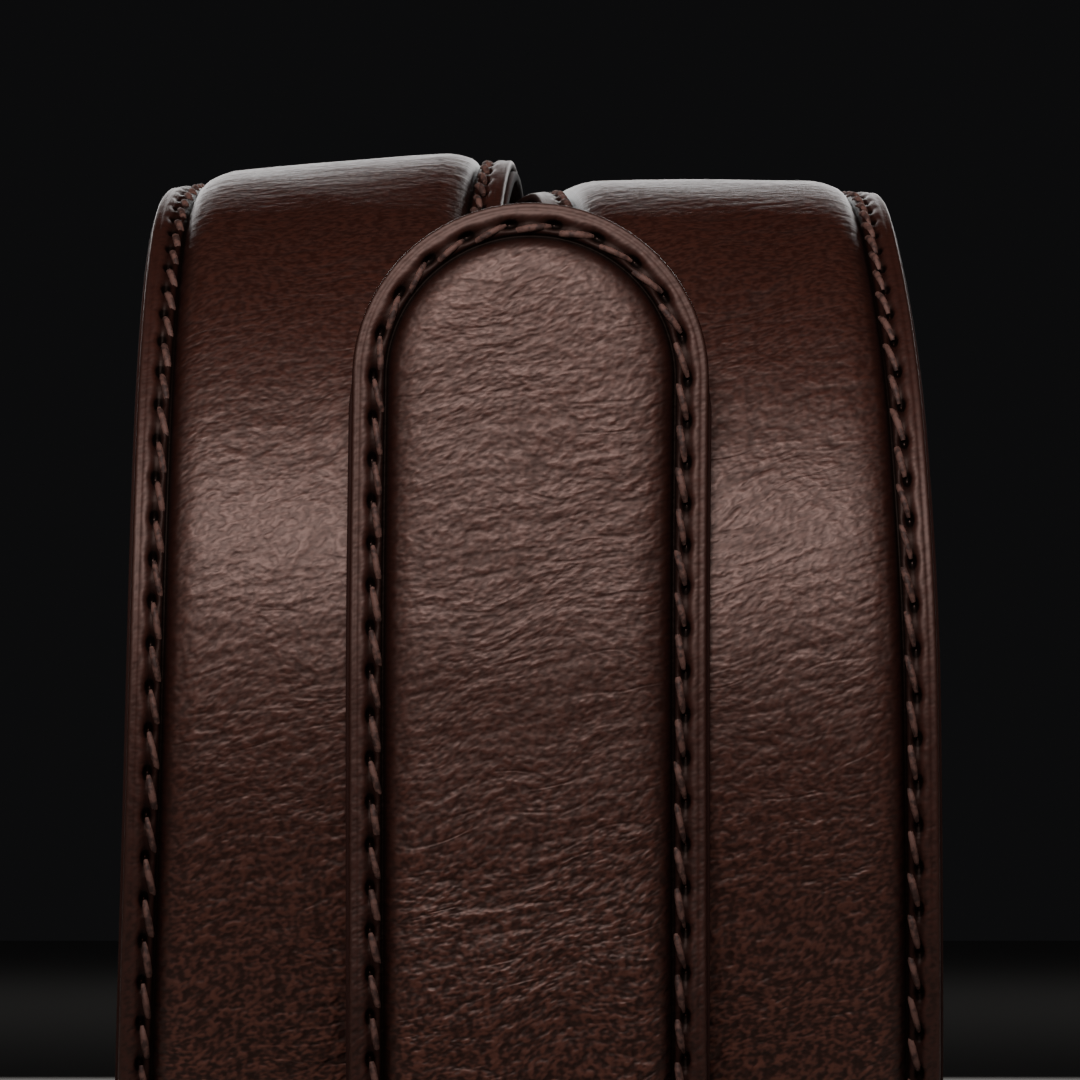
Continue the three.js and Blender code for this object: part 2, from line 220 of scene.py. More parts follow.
stitch = {
    "inset": 2.6,
    "wantedPitch": 4.13,
    "tipCount": 11,
    "holeInset": 2.08,
    "holeLength": 0.85,
    "holeWidth": 0.46,
    "holeDepth": 0.85,
    "threadHeight": 0.3,
    "probe": 0.3,  # reach before and behind a stitch that gives its direction
    "outward": 0.5,  # reach off the leather that gives its upright
}
stitchCount = round(straightLength / stitch["wantedPitch"])
pitch = straightLength / stitchCount
tipRun = stitch["tipCount"] * pitch


def stitchPlace(run, inset):  # strap coordinates at a run along the stitch row
    angle = np.clip((run - straightLength) / tipRun, 0, 1) * np.pi
    straight = np.minimum(np.minimum(run, 2 * straightLength + tipRun - run), straightLength)
    radius = tipRadius - inset
    return straight + radius * np.sin(angle), -radius * np.cos(angle)


def stitchRun(length, across):  # run along the stitch row nearest to a point of the strap
    angle = np.arctan2(length - straightLength, -across)
    straight = np.where(across < 0, length, 2 * straightLength + tipRun - length)
    return np.where(length > straightLength, straightLength + tipRun * angle / np.pi, straight)


# Turns of the strap that show in front get close rows; offsets are in stitch pitches from a hole
rowPlan = {
    "fineTurns": [(1.09, 1.54), (2.09, 2.54), (3.08, 3.5)],
    "fine": [0, 0.09, 0.21, 0.4, 0.6, 0.79, 0.91],
    "coarse": [0, 0.12, 0.88],
    "tip": 44,
}


def rowLengths(fine, coarse):
    rows = []
    for i in range(stitchCount):
        turn = np.interp((i + 0.5) * pitch, lengthTable, turnTable)
        shown = any(low < turn < high for low, high in rowPlan["fineTurns"])
        rows += [(i + share) * pitch for share in (fine if shown else coarse)]
    return np.array(rows)


def strapGrid(rows, tipRows, edge, middle, back, overhang=0.0):
    # Rings of a strap ply as length, across and height. A ring runs up the left edge, over the
    # face, down the right edge and back below; round the tip the edges run on radii.
    left = [(tipRadius - inset, inset - tipRadius, height) for inset, height in edge]
    right = [(reach, -across, height) for reach, across, height in left[::-1]]
    inner = left[-1][0]
    outer = left[0][0]
    over = [(inner, inner * share, left[-1][2]) for share in middle]
    under = [(outer, outer * share, left[0][2]) for share in back]
    reach, across, height = np.array(left + over + right + under).T
    angle = np.concatenate([np.zeros(len(rows)), np.linspace(0, np.pi / 2, tipRows + 1)])[:, None]
    base = np.concatenate([rows, np.full(tipRows + 1, straightLength)])[:, None]
    spread = overhang * easeStep(strapLength - base, tipRadius, tipRadius + strap["liningFlare"])
    length = base + np.sin(angle) * reach
    wide = np.cos(angle) * across + spread * across / tipRadius
    return length, wide, np.broadcast_to(height, length.shape)


def insetOf(length, across):
    return tipRadius - np.hypot(np.maximum(length - straightLength, 0), across)


def signedVolume(mesh):
    mesh.calc_loop_triangles()
    points = np.empty(len(mesh.vertices) * 3)
    mesh.vertices.foreach_get("co", points)
    corners = np.empty(len(mesh.loop_triangles) * 3, np.int32)
    mesh.loop_triangles.foreach_get("vertices", corners)
    a, b, c = points.reshape(-1, 3)[corners.reshape(-1, 3)].transpose(1, 0, 2)
    return float(np.einsum("ij,ij->i", a, np.cross(b, c)).sum())


def finishMesh(name, mesh):
    mesh.polygons.foreach_set("use_smooth", [True] * len(mesh.polygons))
    mesh.validate()
    mesh.update()
    if signedVolume(mesh) < 0:
        mesh.flip_normals()
    piece = bpy.data.objects.new(name, mesh)
    bpy.context.scene.collection.objects.link(piece)
    return piece


weldSize = 0.00005  # millimetres


def meshOfRings(name, points, uv, attributes):
    # Closed mesh through rings, welded where points meet round the tip
    cells = np.round(points.reshape(-1, 3) / weldSize).astype(np.int64)
    _, first, inverse = np.unique(cells, axis=0, return_index=True, return_inverse=True)
    ring = inverse.reshape(points.shape[:2])
    aside = np.roll(ring, -1, axis=1)
    quads = np.stack([ring[:-1], aside[:-1], aside[1:], ring[1:]], -1).reshape(-1, 4)
    faces = []
    for quad in quads.tolist():
        corners = [corner for i, corner in enumerate(quad) if corner != quad[i - 1]]
        if len(corners) > 2 and len(set(corners)) == len(corners):
            faces.append(corners)
    faces.append(ring[0][::-1].tolist())
    mesh = bpy.data.meshes.new(name)
    mesh.from_pydata((points.reshape(-1, 3)[first] * mm).tolist(), [], faces)
    for label, values in attributes.items():
        layer = mesh.attributes.new(label, "FLOAT", "POINT")
        layer.data.foreach_set("value", values.reshape(-1)[first].astype(np.float32))
    corner = np.empty(len(mesh.loops), np.int32)
    mesh.loops.foreach_get("vertex_index", corner)
    layer = mesh.uv_layers.new(name="strapUv")
    layer.data.foreach_set("uv", uv.reshape(-1, 2)[first][corner].astype(np.float32).ravel())
    return finishMesh(name, mesh)


# Face leather, in millimetres: the painted edge as inset and height, then insets of columns
cover = {
    "edge": [(0.2, 0.0), (0.05, 0.05), (0.0, 0.2), (0.0, 0.5), (0.06, 0.72), (0.2, 0.88)],
    "band": [0.4, 0.55, 0.7, 0.85, 1.1, 1.4, 1.65, 1.85, 2.05, 2.3, 2.55, 2.8, 3.0, 3.15, 3.3, 3.5,
             3.8, 4.2, 4.7, 5.4, 6.4],
    "middle": 13,
    "creaseInset": 0.7,
    "creaseDepth": 0.06,
    "creaseWidth": 0.1,
    "lipInset": 1.2,
    "lipRise": 0.04,
    "lipWidth": 0.5,
    "edgeDrop": 0.16,
    "channelInset": 1.75,
    "channelFrom": 1.45,
    "channelFull": 1.85,
    "channelEnd": 4.0,
    "channelDepth": 0.2,
    "valleyInset": 3.4,
    "valleyDepth": 0.4,
    "valleyWidth": 0.36,
    "padFoot": 3.35,
    "padShoulder": 7.2,
    "sideBend": 0.95,
    "crownDrop": 0.16,
    "waveHeight": 0.05,
    "waveFrom": 4.5,
    "waveFull": 8.0,
    "wave": {"along": 0.31, "bend": 1.7, "across": 0.21},
    "slowWave": {"along": 0.083, "across": 0.13},
    "backColumns": (0.5, 0, -0.5),
}

# How strongly the grain's relief, and its painted crest highlight and trough shade, stand out by the
# share of a turn: most low in front, least at the crown
reliefAndShadePlan = {
    "most": 3.4,
    "lowFront": (0.11, 0.2),
    "lowDrop": 1.5,
    "front": (0.19, 0.27),
    "frontDrop": 0.85,
    "crown": (0.48, 0.1),
    "crownDrop": 0.4,
}


def bell(value, centre, width):
    return np.exp(-(((value - centre) / width) ** 2))


def holeMask(length, across):
    offHole = (stitchRun(length, across) / pitch + 0.5) % 1 - 0.5
    beside = bell(insetOf(length, across), stitch["holeInset"], stitch["holeWidth"])
    return bell(offHole * pitch, 0, stitch["holeLength"]) * beside


def faceHeight(length, across):
    inset = insetOf(length, across)
    rise = np.clip((inset - cover["padFoot"]) / (cover["padShoulder"] - cover["padFoot"]), 0, 1)
    crown = np.clip((inset - cover["padFoot"]) / (tipRadius - cover["padFoot"]), 0, 1)
    pad = (strap["padRise"] - cover["crownDrop"]) * np.sin(rise * np.pi / 2) ** cover["sideBend"]
    pad += cover["crownDrop"] * np.sin(crown * np.pi / 2)
    margin = cover["lipRise"] * bell(inset, cover["lipInset"], cover["lipWidth"])
    margin -= cover["edgeDrop"] * np.clip(1 - inset / cover["channelInset"], 0, 1)
    margin -= cover["creaseDepth"] * bell(inset, cover["creaseInset"], cover["creaseWidth"])
    channel = easeStep(inset, cover["channelFrom"], cover["channelFull"])
    channel *= 1 - easeStep(inset, cover["padFoot"], cover["channelEnd"])
    margin -= cover["channelDepth"] * channel
    margin -= cover["valleyDepth"] * bell(inset, cover["valleyInset"], cover["valleyWidth"])
    wave, slowWave = cover["wave"], cover["slowWave"]
    bend = wave["bend"] * np.sin(across * wave["across"])
    waves = np.sin(length * wave["along"] + bend)
    waves *= np.sin(length * slowWave["along"] + across * slowWave["across"])
    sag = cover["waveHeight"] * (waves - 1) * easeStep(inset, cover["waveFrom"], cover["waveFull"])
    return strap["marginThickness"] + margin + pad + sag - stitch["holeDepth"] * holeMask(length, across)


def reliefAndShadeAt(turnShare):
    reliefAndShade = reliefAndShadePlan["most"] - reliefAndShadePlan["lowDrop"] * easeStep(turnShare, *reliefAndShadePlan["lowFront"])
    reliefAndShade -= reliefAndShadePlan["frontDrop"] * easeStep(turnShare, *reliefAndShadePlan["front"])
    return reliefAndShade - reliefAndShadePlan["crownDrop"] * bell(turnShare, *reliefAndShadePlan["crown"])


def makeCover():
    edge = cover["edge"] + [(inset, np.nan) for inset in cover["band"]]
    middle = np.linspace(-1, 1, cover["middle"] + 2)[1:-1]
    rows = rowLengths(rowPlan["fine"], rowPlan["coarse"])
    length, across, height = strapGrid(rows, rowPlan["tip"], edge, middle, cover["backColumns"])
    onFace = np.isnan(height)
    height = np.where(onFace, faceHeight(length, across), height)
    attributes = {
        "inset": np.where(onFace, insetOf(length, across), 0),
        "hole": np.where(onFace, holeMask(length, across), 0),
        "reliefAndShade": reliefAndShadeAt(np.interp(length, lengthTable, turnTable) % 1),
    }
    points = place(length, across, strap["under"] + height)
    return meshOfRings("faceLeather", points, np.stack([length, across], -1) * cmPerMm, attributes)


facePiece = makeCover()
print("face leather:", len(facePiece.data.polygons), "faces")

lining = {
    "edge": [(0.3, 0.0), (0.1, 0.06), (0.0, 0.24), (0.0, 0.86), (0.1, 1.04), (0.3, 1.1)],
    "back": 6,
    "faceColumns": (-0.5, 0, 0.5),
    "fineRows": [0, 0.25, 0.5, 0.75],
    "coarseRows": [0, 0.5],
    "trackWidth": 5.0,
    "trackFromTip": 55.0,
    "toothPitch": 6.3,
    "toothCount": 32,
    "slotSkin": 0.03,  # what is left of the lining over the track
}
trackEnd = strapLength - lining["trackFromTip"]
trackStart = trackEnd - lining["toothCount"] * lining["toothPitch"]


def makeLining():
    # The slot's walls are pairs of columns: one stays on the back, its twin goes up in the slot
    outer = tipRadius - lining["edge"][0][0]
    wall = (lining["trackWidth"] / 2 + strap["fitGap"]) / outer
    beside = np.linspace(1, wall, lining["back"] + 1)[1:]
    back = np.concatenate([beside, [wall, 0, -wall], -beside[::-1]])
    ends = [trackStart - strap["fitGap"], trackEnd + strap["fitGap"]]
    rows = rowLengths(lining["fineRows"], lining["coarseRows"])
    rows = np.sort(np.concatenate([rows, ends, ends]))
    length, across, height = strapGrid(
        rows, rowPlan["tip"] // 2, lining["edge"], lining["faceColumns"], back, strap["liningOverhang"]
    )
    first = length.shape[1] - len(back) + lining["back"]
    inSlot = np.zeros(len(length), bool)
    low = np.searchsorted(rows, ends[0], side="left") + 1
    high = np.searchsorted(rows, ends[1], side="left") + 1
    inSlot[low:high] = True
    height = height.copy()
    height[np.ix_(inSlot, range(first, first + 3))] = strap["liningThickness"] - lining["slotSkin"]
    attributes = {"inset": insetOf(length, across)}
    points = place(length, across, height)
    return meshOfRings("liningLeather", points, np.stack([length, across], -1) * cmPerMm, attributes)


liningPiece = makeLining()
print("lining:", len(liningPiece.data.polygons), "faces")


def socketOf(tree, name):
    return next(item.identifier for item in tree.interface.items_tree if item.name == name)


threadShape = {
    "steps": 7,
    "sides": 8,
    "power": 0.3,
    "endShare": 0.6,  # width of a stitch's ends against its middle
    "leastScale": (0.94, 0.9, 0.85),
    "mostScale": (1.04, 1.08, 1.15),
}
faceThread = {
    "Stitch Length": 0.0038,
    "Thread Width": 0.00076,
    "Arch": 0.00032,
    "Dip": 0.0005,
    "Slant": 0.2,
    "Wobble": 0.06,
    "Seed": 5,
}
backThread = {
    "Stitch Length": 0.0034,
    "Thread Width": 0.0007,
    "Arch": 0.00016,
    "Dip": 0.0005,
    "Slant": 0.06,
    "Wobble": 0.05,
    "Seed": 9,
}


def makeStitchTree():
    tree = bpy.data.node_groups.new("stitchRow", "GeometryNodeTree")
    face = tree.interface
    face.new_socket("Geometry", in_out="INPUT", socket_type="NodeSocketGeometry")
    for label, value in (("Stitch Length", 0.003), ("Thread Width", 0.0008), ("Arch", 0.0003),
                         ("Dip", 0.0006), ("Slant", 0.1), ("Wobble", 0.05)):
        face.new_socket(label, in_out="INPUT", socket_type="NodeSocketFloat").default_value = value
    face.new_socket("Seed", in_out="INPUT", socket_type="NodeSocketInt").default_value = 3
    face.new_socket("Material", in_out="INPUT", socket_type="NodeSocketMaterial")
    face.new_socket("Geometry", in_out="OUTPUT", socket_type="NodeSocketGeometry")
    nodes, links = tree.nodes, tree.links

    def add(kind, **settings):
        node = nodes.new(kind)
        for label, value in settings.items():
            setattr(node, label, value)
        return node

    def maths(operation, first, second):
        node = add("ShaderNodeMath", operation=operation)
        for slot, value in enumerate((first, second)):
            if isinstance(value, bpy.types.NodeSocket):
                links.new(value, node.inputs[slot])
            elif value is not None:
                node.inputs[slot].default_value = value
        return node.outputs[0]

    def vector(x, z):
        node = add("ShaderNodeCombineXYZ")
        for label, value in (("X", x), ("Z", z)):
            if isinstance(value, bpy.types.NodeSocket):
                links.new(value, node.inputs[label])
            else:
                node.inputs[label].default_value = value
        return node.outputs[0]

    given = add("NodeGroupInput").outputs
    half = maths("MULTIPLY", given["Stitch Length"], 0.5)
    low = maths("MULTIPLY", given["Dip"], -1.0)
    bezier = add("GeometryNodeCurveQuadraticBezier")
    bezier.inputs["Resolution"].default_value = threadShape["steps"]
    links.new(vector(maths("MULTIPLY", half, -1.0), low), bezier.inputs["Start"])
    links.new(vector(0.0, maths("MULTIPLY", given["Arch"], 2.0)), bezier.inputs["Middle"])
    links.new(vector(half, low), bezier.inputs["End"])
    factor = add("GeometryNodeSplineParameter").outputs["Factor"]
    swell = maths("POWER", maths("SINE", maths("MULTIPLY", factor, math.pi), None), threadShape["power"])
    end = threadShape["endShare"]
    thick = maths("ADD", maths("MULTIPLY", swell, 1 - end), end)
    circle = add("GeometryNodeCurvePrimitiveCircle")
    circle.inputs["Resolution"].default_value = threadShape["sides"]
    links.new(maths("MULTIPLY", given["Thread Width"], 0.5), circle.inputs["Radius"])
    tube = add("GeometryNodeCurveToMesh")
    links.new(bezier.outputs["Curve"], tube.inputs["Curve"])
    links.new(circle.outputs["Curve"], tube.inputs["Profile Curve"])
    tube.inputs["Fill Caps"].default_value = True
    links.new(thick, tube.inputs["Scale"])
    smooth = add("GeometryNodeSetShadeSmooth")
    links.new(tube.outputs["Mesh"], smooth.inputs["Geometry"])
    out = add("GeometryNodeInputNamedAttribute", data_type="FLOAT_VECTOR")
    out.inputs["Name"].default_value = "out"
    along = add("GeometryNodeInputNamedAttribute", data_type="FLOAT_VECTOR")
    along.inputs["Name"].default_value = "along"
    axes = add("FunctionNodeAxesToRotation", primary_axis="Z", secondary_axis="X")
    links.new(out.outputs["Attribute"], axes.inputs["Primary Axis"])
    links.new(along.outputs["Attribute"], axes.inputs["Secondary Axis"])
    wobble = add("FunctionNodeRandomValue", data_type="FLOAT")
    links.new(maths("SUBTRACT", given["Slant"], given["Wobble"]), wobble.inputs["Min"])
    links.new(maths("ADD", given["Slant"], given["Wobble"]), wobble.inputs["Max"])
    links.new(given["Seed"], wobble.inputs["Seed"])
    slant = add("FunctionNodeAxisAngleToRotation")
    slant.inputs["Axis"].default_value = (0, 0, 1)
    wobbleOut = next(s for s in wobble.outputs if s.enabled)
    links.new(wobbleOut, slant.inputs["Angle"])
    turn = add("FunctionNodeRotateRotation", rotation_space="LOCAL")
    links.new(axes.outputs["Rotation"], turn.inputs["Rotation"])
    links.new(slant.outputs["Rotation"], turn.inputs["Rotate By"])
    size = add("FunctionNodeRandomValue", data_type="FLOAT_VECTOR")
    size.inputs["Min"].default_value = threadShape["leastScale"]
    size.inputs["Max"].default_value = threadShape["mostScale"]
    links.new(given["Seed"], size.inputs["Seed"])
    spread = add("GeometryNodeInstanceOnPoints")
    links.new(given["Geometry"], spread.inputs["Points"])
    links.new(smooth.outputs["Geometry"], spread.inputs["Instance"])
    links.new(turn.outputs["Rotation"], spread.inputs["Rotation"])
    links.new(next(s for s in size.outputs if s.enabled), spread.inputs["Scale"])
    real = add("GeometryNodeRealizeInstances")
    links.new(spread.outputs["Instances"], real.inputs["Geometry"])
    painted = add("GeometryNodeSetMaterial")
    links.new(real.outputs["Geometry"], painted.inputs["Geometry"])
    links.new(given["Material"], painted.inputs["Material"])
    links.new(painted.outputs["Geometry"], add("NodeGroupOutput").inputs["Geometry"])
    return tree


def makeStitches(name, tree, height, outward, material, sizes):
    # A stitch between each two holes, from the square end round the tip and back
    run = (np.arange(2 * stitchCount + stitch["tipCount"] - 2) + 1.5) * pitch
    centre = place(*stitchPlace(run, stitch["inset"]), height)
    ahead = place(*stitchPlace(run + stitch["probe"], stitch["inset"]), height)
    behind = place(*stitchPlace(run - stitch["probe"], stitch["inset"]), height)
    above = place(*stitchPlace(run, stitch["inset"]), height + outward)
    mesh = bpy.data.meshes.new(name)
    mesh.from_pydata((centre * mm).tolist(), [], [])
    for label, values in (("along", ahead - behind), ("out", above - centre)):
        unit = values / np.linalg.norm(values, axis=1, keepdims=True)
        layer = mesh.attributes.new(label, "FLOAT_VECTOR", "POINT")
        layer.data.foreach_set("vector", unit.astype(np.float32).ravel())
    piece = bpy.data.objects.new(name, mesh)
    bpy.context.scene.collection.objects.link(piece)
    modifier = piece.modifiers.new("stitches", "NODES")
    modifier.node_group = tree
    for label, value in {**sizes, "Material": material}.items():
        modifier[socketOf(tree, label)] = value
    bpy.context.view_layer.update()
    evaluated = piece.evaluated_get(bpy.context.evaluated_depsgraph_get())
    result = bpy.data.meshes.new_from_object(evaluated)
    piece.modifiers.remove(modifier)
    piece.data = result
    print(name, len(run), "stitches,", len(result.polygons), "faces")
    return piece


class NodeTree:  # shorthands for a tree of shader nodes; a socket is named, or i and its index
    def __init__(self, tree):
        self.tree = tree

    def add(self, kind, settings=None, **inputs):
        node = self.tree.nodes.new(kind)
        for label, value in (settings or {}).items():
            setattr(node, label, value)
        for label, value in inputs.items():
            self.set(node, label.replace("_", " "), value)
        return node

    def set(self, node, label, value):
        byIndex = label[0] == "i" and label[1:].isdigit()
        socket = node.inputs[int(label[1:]) if byIndex else label]
        if isinstance(value, bpy.types.NodeSocket):
            self.tree.links.new(value, socket)
        else:
            socket.default_value = value

    def maths(self, operation, first, second=0.0):
        settings = {"operation": operation}
        return self.add("ShaderNodeMath", settings, i0=first, i1=second).outputs[0]

    def vectorMaths(self, operation, first, second):
        settings = {"operation": operation}
        return self.add("ShaderNodeVectorMath", settings, i0=first, i1=second).outputs[0]

    def noise(self, vector, scale, detail=3.0, roughness=0.55, distortion=0.0):
        return self.add("ShaderNodeTexNoise", Vector=vector, Scale=scale, Detail=detail,
                        Roughness=roughness, Distortion=distortion).outputs[0]

    def ramp(self, value, low, high, toLow=0.0, toHigh=1.0):
        node = self.add("ShaderNodeMapRange", {"interpolation_type": "SMOOTHSTEP"}, Value=value)
        limits = {"From Min": low, "From Max": high, "To Min": toLow, "To Max": toHigh}
        for label, amount in limits.items():
            node.inputs[label].default_value = amount
        return node.outputs[0]

    def mixColour(self, factor, first, second):
        node = self.add("ShaderNodeMix", {"data_type": "RGBA"})
        for index, value in (("i0", factor), ("i6", first), ("i7", second)):
            self.set(node, index, value)
        return node.outputs[2]

    def attribute(self, name):
        return self.add("ShaderNodeAttribute", {"attribute_name": name}).outputs["Fac"]


def newMaterial(name):
    material = bpy.data.materials.new(name)
    material.use_nodes = True
    tree = NodeTree(material.node_tree)
    shader = material.node_tree.nodes["Principled BSDF"]
    return material, tree, shader


def colour(red, green, blue):  # linear colour of screen values from 0 to 255
    def linear(value):
        share = value / 255
        return share / 12.92 if share <= 0.04045 else ((share + 0.055) / 1.055) ** 2.4
    return (linear(red), linear(green), linear(blue), 1.0)


# Layers of the grain: waves per cm along and across the strap, detail and distortion
grainLayers = {
    "fine": (26.0, 17.0, 0.5, 0.0),  # fibrous crinkle, under half a millimetre
    "pebbled": (12.5, 8.0, 1.0, 0.1),
    "wrinkled": (5.0, 1.7, 1.0, 0.1),
    "folded": (3.2, 0.95, 1.5, 0.1),
}
grainMix = {
    "drift": 0.45,  # how far the folds sway along the strap, in cm
    "slow": 0.6,
    "foldWidth": 0.05,
    "foldDepth": 0.14,
    "smallWidth": 0.11,
    "smallShare": 0.5,
    "fineHeight": 0.4,
    "pebbleHeight": 2.2,
    "crestMask": {"fine": 0.5, "pebbled": 0.5},
    "crestMaskRange": (0.37, 0.62),
}


def makeGrainGroup():
    # Leather surface: height in metres, a mask of its creases and a mask of its crests for painted
    # highlight and shade, from strap coordinates in cm
    group = bpy.data.node_groups.new("leatherGrain", "ShaderNodeTree")
    face = group.interface
    face.new_socket("Strap", in_out="INPUT", socket_type="NodeSocketVector")
    for label, value in (("Grain Depth", 0.0001), ("Wrinkle Depth", 0.0003), ("Lean", -0.22)):
        face.new_socket(label, in_out="INPUT", socket_type="NodeSocketFloat").default_value = value
    for label in ("Height", "Crease", "Grain"):
        face.new_socket(label, in_out="OUTPUT", socket_type="NodeSocketFloat")
    tree = NodeTree(group)
    given = tree.add("NodeGroupInput").outputs
    strapAt = given["Strap"]
    parts = tree.add("ShaderNodeSeparateXYZ", Vector=strapAt).outputs
    wobble = tree.noise(strapAt, grainMix["slow"], 1.0)
    shift = tree.maths("MULTIPLY", tree.maths("SUBTRACT", wobble, 0.5), grainMix["drift"])
    slanted = tree.maths("ADD", parts[0], tree.maths("MULTIPLY", parts[1], given["Lean"]))
    folds = tree.add("ShaderNodeCombineXYZ", X=tree.maths("ADD", slanted, shift), Y=parts[1]).outputs[0]

    def stretched(name):
        along, across, detail, distortion = grainLayers[name]
        at = tree.vectorMaths("MULTIPLY", folds, (along, across, 1.0))
        return tree.noise(at, 1.0, detail, 0.5, distortion)

    def scaled(value, share):
        return tree.maths("MULTIPLY", value, share)

    def valleys(value, width):  # narrow valleys along the middle level of a noise
        off = tree.maths("ABSOLUTE", tree.maths("SUBTRACT", value, 0.5))
        return tree.ramp(off, 0.0, width, 1.0, 0.0)

    fine = stretched("fine")
    pebbled = stretched("pebbled")
    wrinkled = stretched("wrinkled")
    patch = tree.ramp(wobble, 0.35, 0.65, 0.35, 1.0)  # creases are deeper in some patches
    folded = tree.maths("MULTIPLY", valleys(stretched("folded"), grainMix["foldWidth"]), patch)
    small = scaled(valleys(pebbled, grainMix["smallWidth"]), grainMix["smallShare"])
    pebbles = scaled(pebbled, grainMix["pebbleHeight"])
    grain = tree.maths("ADD", scaled(fine, grainMix["fineHeight"]), pebbles)
    rise = tree.maths("MULTIPLY", grain, given["Grain Depth"])
    deep = tree.maths("SUBTRACT", wrinkled, scaled(folded, grainMix["foldDepth"]))
    rise = tree.maths("ADD", rise, tree.maths("MULTIPLY", deep, given["Wrinkle Depth"]))
    # mask of the grain's crests; the face paints crests lighter as painted highlight and troughs darker
    # as painted shade
    crestMask = grainMix["crestMask"]
    crestMix = tree.maths("ADD", scaled(fine, crestMask["fine"]), scaled(pebbled, crestMask["pebbled"]))
    out = tree.add("NodeGroupOutput")
    tree.set(out, "Height", rise)
    tree.set(out, "Crease", tree.maths("MAXIMUM", folded, small))
    tree.set(out, "Grain", tree.ramp(crestMix, *grainMix["crestMaskRange"]))
    return group


leather = {
    "base": colour(50, 19, 12),
    "worn": colour(66, 28, 19),
    # the next two colours are a painted highlight for the grain's crests and a painted shade for its
    # creases, troughs and the channel
    "crest": colour(98, 54, 42),
    "paintedShade": colour(26, 10, 7),
    "edge": colour(46, 20, 14),
    "lining": colour(72, 38, 28),
    "thread": colour(104, 70, 61),
    "threadDark": colour(56, 32, 26),
    "shadow": colour(8, 3, 2),
    "sheen": (1.0, 0.69, 0.61, 1.0),
    "shadedSheen": (0.1, 0.07, 0.06, 1.0),
    "roughness": 0.48,
}
grainGroup = makeGrainGroup()


def strapCoordinates(tree):
    return tree.add("ShaderNodeUVMap", {"uv_map": "strapUv"}).outputs[0]


def bumped(tree, height):
    return tree.add("ShaderNodeBump", Height=height, Strength=1.0, Distance=1.0).outputs[0]


# Zones of the face, in millimetres from its edge
zone = {
    "top": (0.15, 0.5),
    "channel": (1.5, 2.0),
    "lip": (1.5, 3.2),
    "hollowNear": (2.9, 3.2),
    "hollowFar": (3.4, 3.9),
    "grain": (3.2, 4.0),
    "gloss": (3.2, 4.6),
    "wrinkle": (3.4, 4.8),
    "pad": (3.5, 4.8),
    "channelShade": (3.4, 5.8),
    "dullAndShade": (3.5, 5.0),
}
faceLook = {
    "grainDepth": (0.00003, 0.00006),  # metres on the margin and on the pad
    "wrinkleDepth": (0.00002, 0.00018),
    "marginRoughness": 0.54,
    "specular": 0.85,
    "wornShare": 0.35,
    "creaseShadeShare": 0.5,
    "crestRange": (0.8, 3.0, 0.15, 0.8),  # relief-and-shade weight from and to, and the painted crest highlight's share there
    "troughShadeRange": (0.8, 2.2, 0.4, 0.9),
    "troughShadeDull": 0.3,
}


def makeFaceLeather():
    material, tree, shader = newMaterial("faceLeather")
    strapAt = strapCoordinates(tree)
    inset = tree.attribute("inset")
    reliefAndShade = tree.attribute("reliefAndShade")

    def both(first, second):
        return tree.maths("MULTIPLY", first, second)

    def zoneRamp(name, fromShare=0.0, toShare=1.0):
        return tree.ramp(inset, *zone[name], fromShare, toShare)

    onPad = zoneRamp("pad")
    grain = tree.add("ShaderNodeGroup", {"node_tree": grainGroup}, Strap=strapAt)
    tree.set(grain, "Grain Depth", both(zoneRamp("grain", *faceLook["grainDepth"]), reliefAndShade))
    tree.set(grain, "Wrinkle Depth", both(zoneRamp("wrinkle", *faceLook["wrinkleDepth"]), reliefAndShade))
    worn = tree.ramp(tree.noise(strapAt, 0.55, 3.0), 0.4, 0.7)
    shade = tree.mixColour(both(worn, faceLook["wornShare"]), leather["base"], leather["worn"])
    deep = both(grain.outputs["Crease"], onPad)
    # painted shade: the pad's creases are mixed towards a dark brown
    shade = tree.mixColour(both(deep, faceLook["creaseShadeShare"]), shade, leather["paintedShade"])
    # painted highlight on the grain's crests and painted shade in its troughs, strongest low in front
    crests = both(grain.outputs["Grain"], tree.ramp(reliefAndShade, *faceLook["crestRange"]))
    shade = tree.mixColour(both(crests, onPad), shade, leather["crest"])
    troughShade = tree.maths("SUBTRACT", 1.0, grain.outputs["Grain"])
    shade = tree.mixColour(both(troughShade, tree.ramp(reliefAndShade, *faceLook["troughShadeRange"])), shade, leather["paintedShade"])
    channel = zoneRamp("channel")  # painted shade darkens the channel from the stitches to the pad's foot
    shade = tree.mixColour(both(channel, zoneRamp("channelShade", 0.85, 0.0)), shade, leather["paintedShade"])
    hollow = both(zoneRamp("hollowNear"), zoneRamp("hollowFar", 1.0, 0.0))
    hole = tree.maths("MAXIMUM", tree.ramp(tree.attribute("hole"), 0.1, 0.5), hollow)
    shade = tree.mixColour(hole, shade, leather["shadow"])
    tree.set(shader, "Base Color", tree.mixColour(zoneRamp("top"), leather["edge"], shade))
    rough = zoneRamp("gloss", faceLook["marginRoughness"], leather["roughness"])
    tree.set(shader, "Roughness", tree.maths("ADD", rough, both(deep, 0.1)))
    # painted shade: the specular tint is darkened in the stitch holes, the valley, the channel and the
    # grain's troughs, and turned down a little on the margin
    dullAndShade = tree.maths("MAXIMUM", hole, both(channel, zoneRamp("dullAndShade", 0.8, 0.0)))
    dullAndShade = tree.maths("MAXIMUM", dullAndShade, zoneRamp("lip", 0.15, 0.0))
    dullAndShade = tree.maths("MAXIMUM", dullAndShade, both(troughShade, faceLook["troughShadeDull"]))
    tree.set(shader, "Specular IOR Level", faceLook["specular"])
    tree.set(shader, "Specular Tint", tree.mixColour(dullAndShade, leather["sheen"], leather["shadedSheen"]))
    tree.set(shader, "Normal", bumped(tree, grain.outputs["Height"]))
    return material


